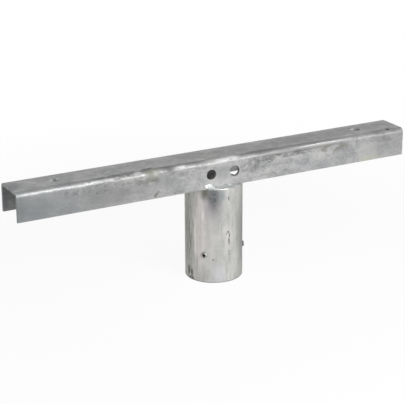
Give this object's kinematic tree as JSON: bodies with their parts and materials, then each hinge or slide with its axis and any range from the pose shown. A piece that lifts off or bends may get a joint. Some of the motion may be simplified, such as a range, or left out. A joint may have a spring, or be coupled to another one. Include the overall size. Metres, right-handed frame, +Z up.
{
  "type": "steel pole crossarm",
  "caption": "Galvanised channel crossarm on a round socket that slips over a pole top and is clamped by set screws, with bolt holes in its web and sides.",
  "frame": {"origin": "on the axis of the pole socket, at its lower rim, where the part stands", "axes": "+X along the beam, +Z up the socket's axis towards the beam, -Y out of the front flange"},
  "size_m": [0.66, 0.0912, 0.194],
  "materials": {
    "galvanised_steel": "hot-dip galvanised, dull and mottled",
    "socket_steel": "hot-dip galvanised, brighter, with drawn streaks",
    "weld_metal": "galvanised weld bead",
    "screw_steel": "zinc-plated, dull"
  },
  "bodies": {
    "root": {"channel_beam": "galvanised_steel", "socket_tube": "socket_steel", "weld_front": "weld_metal", "weld_back": "weld_metal", "set_screw_1": "screw_steel", "set_screw_2": "screw_steel", "set_screw_3": "screw_steel"}
  },
  "joints": []
}
